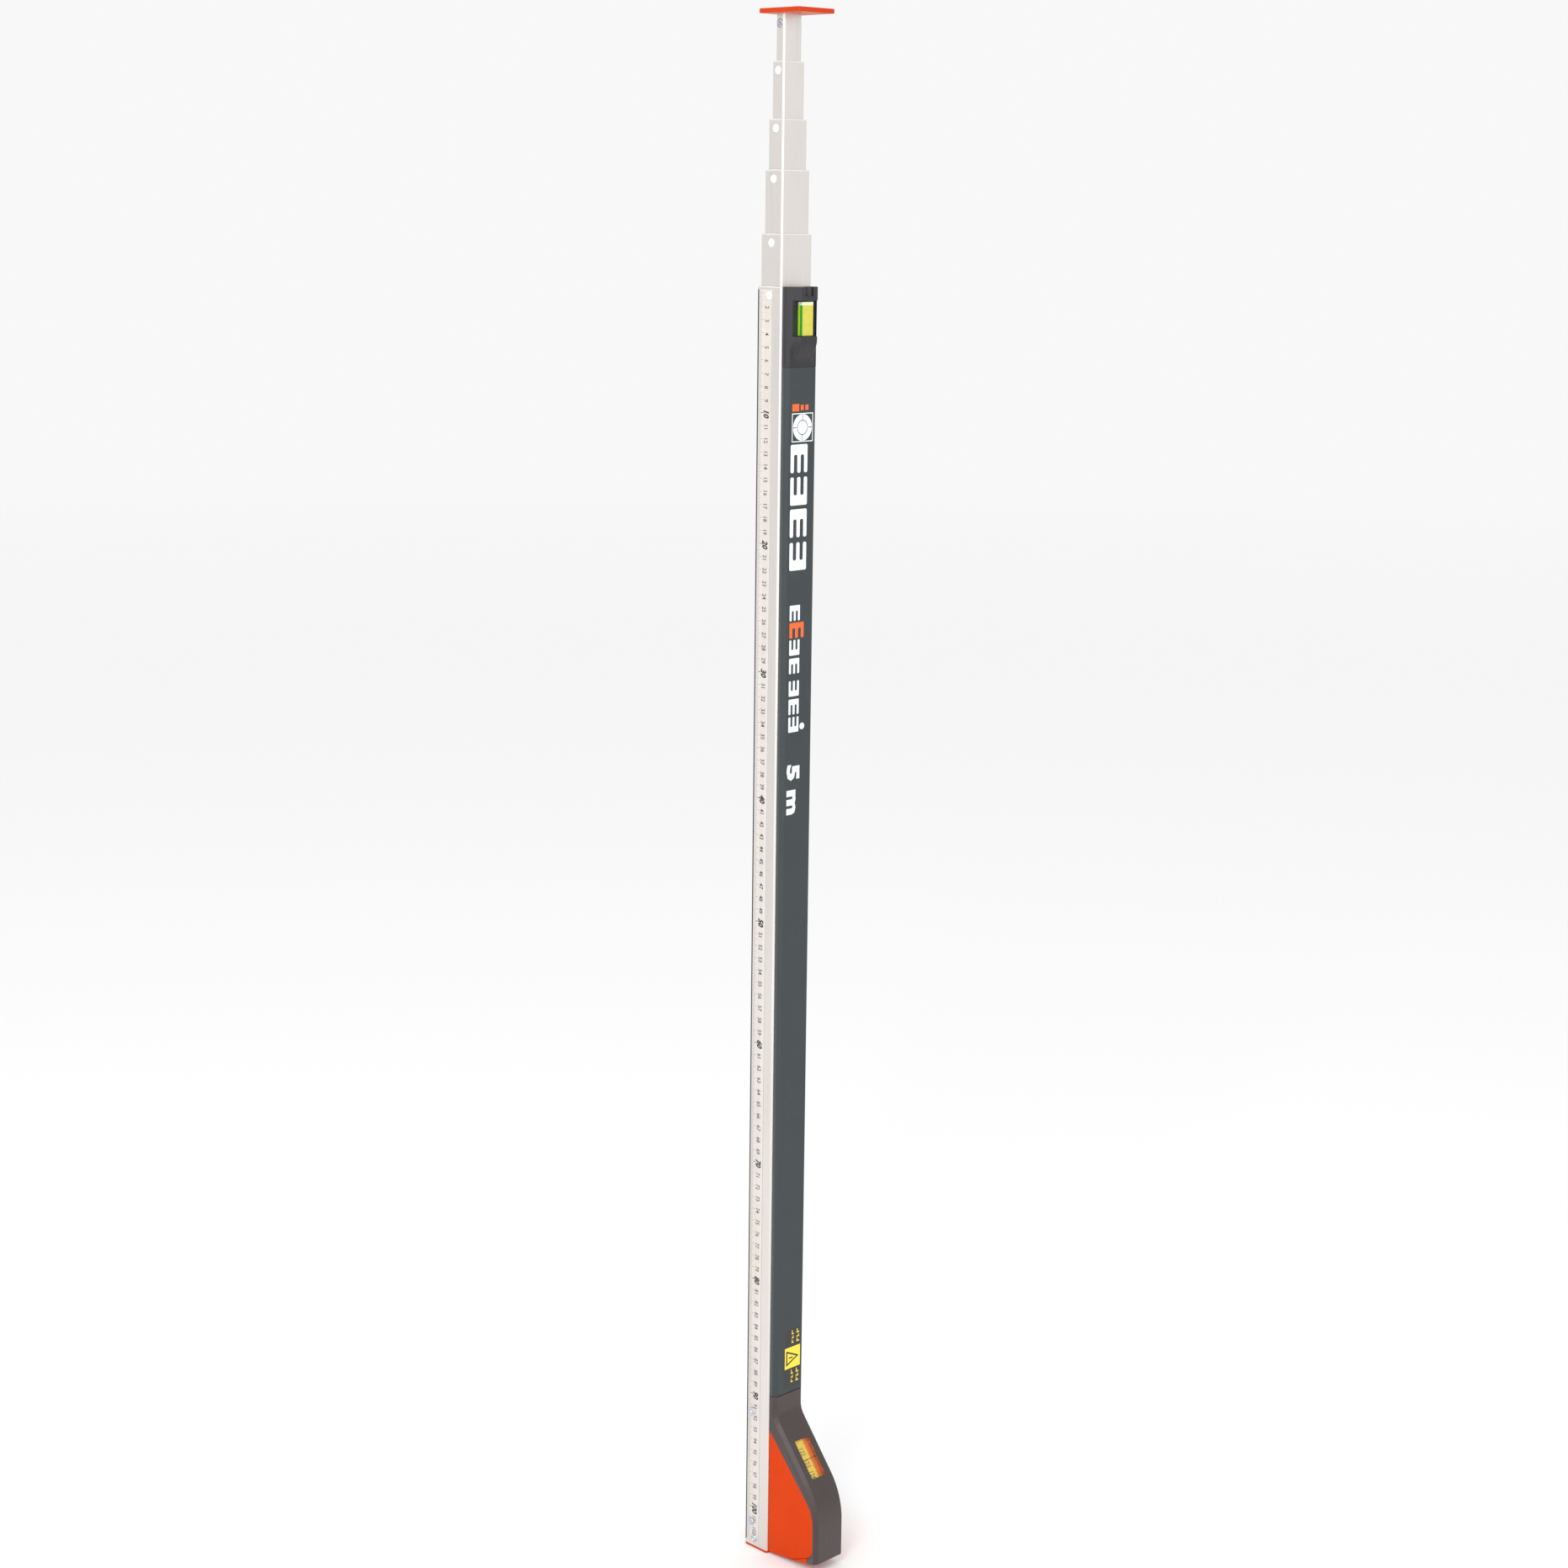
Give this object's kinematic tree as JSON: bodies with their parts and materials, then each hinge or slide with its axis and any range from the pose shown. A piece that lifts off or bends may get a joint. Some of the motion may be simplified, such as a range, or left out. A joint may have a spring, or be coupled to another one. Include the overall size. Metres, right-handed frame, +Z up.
{
  "type": "leveling rod",
  "caption": "Telescopic leveling rod: nested aluminium sections with push buttons, a tape reel in a casing with a reading window, a tube vial and an end plate.",
  "frame": {"origin": "centre of the foot plate's underside, on the axis of the nested sections", "axes": "+Z up along the rod, +X towards the reading window, -Y towards the scale"},
  "size_m": [0.0813, 0.0384, 1.2335],
  "materials": {
    "anodised": "satin anodised",
    "scale_face": "printed film, satin",
    "end_orange": "powder coat, fine texture",
    "side_orange": "moulded, fine grain",
    "cover_dark": "moulded, fine grain",
    "casing_dark": "moulded, fine grain",
    "white_plastic": "moulded",
    "inner_plastic": "moulded",
    "screw_steel": "zinc plated",
    "spring_steel": "cold rolled",
    "vial_acrylic": "clear fluorescent acrylic",
    "vial_fluid": "liquid",
    "lens": "polished",
    "tape_yellow": "lacquered steel tape"
  },
  "bodies": {
    "main": {"main_tube": "anodised", "scale_strip": "scale_face", "foot_plate": "end_orange", "foot_screws": "screw_steel", "foot_plug": "inner_plastic", "scale_screws": "screw_steel", "stop_block": "inner_plastic", "cover": "cover_dark", "head_piece": "cover_dark", "head_screws": "screw_steel", "vial_block": "vial_acrylic", "vial_liquid": "vial_fluid", "casing_band": "casing_dark", "casing_base": "side_orange", "casing_screws": "screw_steel", "side_cover_left": "side_orange", "side_cover_right": "side_orange", "window_lens": "lens", "guide_pins": "spring_steel", "reel_axle": "spring_steel", "reel_spring": "spring_steel", "tape_run": "tape_yellow", "tape_lower": "tape_yellow", "collar_1": "white_plastic"},
    "reel": {"reel_drum": "inner_plastic", "tape_coil": "tape_yellow"},
    "section_2": {"tube_2": "anodised", "shoe_2": "inner_plastic", "catch_2": "spring_steel", "collar_2": "white_plastic"},
    "section_3": {"tube_3": "anodised", "shoe_3": "inner_plastic", "catch_3": "spring_steel", "collar_3": "white_plastic"},
    "section_4": {"tube_4": "anodised", "shoe_4": "inner_plastic", "catch_4": "spring_steel", "collar_4": "white_plastic"},
    "section_5": {"tube_5": "anodised", "shoe_5": "inner_plastic", "catch_5": "spring_steel", "collar_5": "white_plastic"},
    "section_6": {"tube_6": "anodised", "shoe_6": "inner_plastic", "catch_6": "spring_steel", "tape_upper": "tape_yellow", "top_plug": "inner_plastic", "top_screw": "screw_steel", "top_plate": "end_orange", "plate_screws": "screw_steel"},
    "button_1": {"button_1": "white_plastic"},
    "button_2": {"button_2": "white_plastic"},
    "button_3": {"button_3": "white_plastic"},
    "button_4": {"button_4": "white_plastic"},
    "button_5": {"button_5": "white_plastic"}
  },
  "joints": [
    {"name": "section_2_slide", "type": "slide", "parent": "main", "child": "section_2", "axis": [0, 0, 1], "range_m": [-0.039, 0.754], "deforming": ["tape_lower"]},
    {"name": "section_3_slide", "type": "slide", "parent": "section_2", "child": "section_3", "axis": [0, 0, 1], "range_m": [-0.047, 0.746]},
    {"name": "section_4_slide", "type": "slide", "parent": "section_3", "child": "section_4", "axis": [0, 0, 1], "range_m": [-0.037, 0.756]},
    {"name": "section_5_slide", "type": "slide", "parent": "section_4", "child": "section_5", "axis": [0, 0, 1], "range_m": [-0.042, 0.751]},
    {"name": "section_6_slide", "type": "slide", "parent": "section_5", "child": "section_6", "axis": [0, 0, 1], "range_m": [-0.033, 0.759], "deforming": ["tape_upper"]},
    {"name": "button_1_press", "type": "slide", "parent": "main", "child": "button_1", "axis": [0, 1, 0], "range_m": [0, 0.0004], "stiffness_N_per_m": 1500},
    {"name": "button_2_press", "type": "slide", "parent": "section_2", "child": "button_2", "axis": [0, 1, 0], "range_m": [0, 0.0004], "stiffness_N_per_m": 1500},
    {"name": "button_3_press", "type": "slide", "parent": "section_3", "child": "button_3", "axis": [0, 1, 0], "range_m": [0, 0.0004], "stiffness_N_per_m": 1500},
    {"name": "button_4_press", "type": "slide", "parent": "section_4", "child": "button_4", "axis": [0, 1, 0], "range_m": [0, 0.0004], "stiffness_N_per_m": 1500},
    {"name": "button_5_press", "type": "slide", "parent": "section_5", "child": "button_5", "axis": [0, 1, 0], "range_m": [0, 0.0004], "stiffness_N_per_m": 1500},
    {"name": "reel_spin", "type": "hinge", "parent": "main", "child": "reel", "pos_m": [0.042, 0, 0.036], "axis": [0, -1, 0], "range_deg": [-530, 11900]}
  ]
}
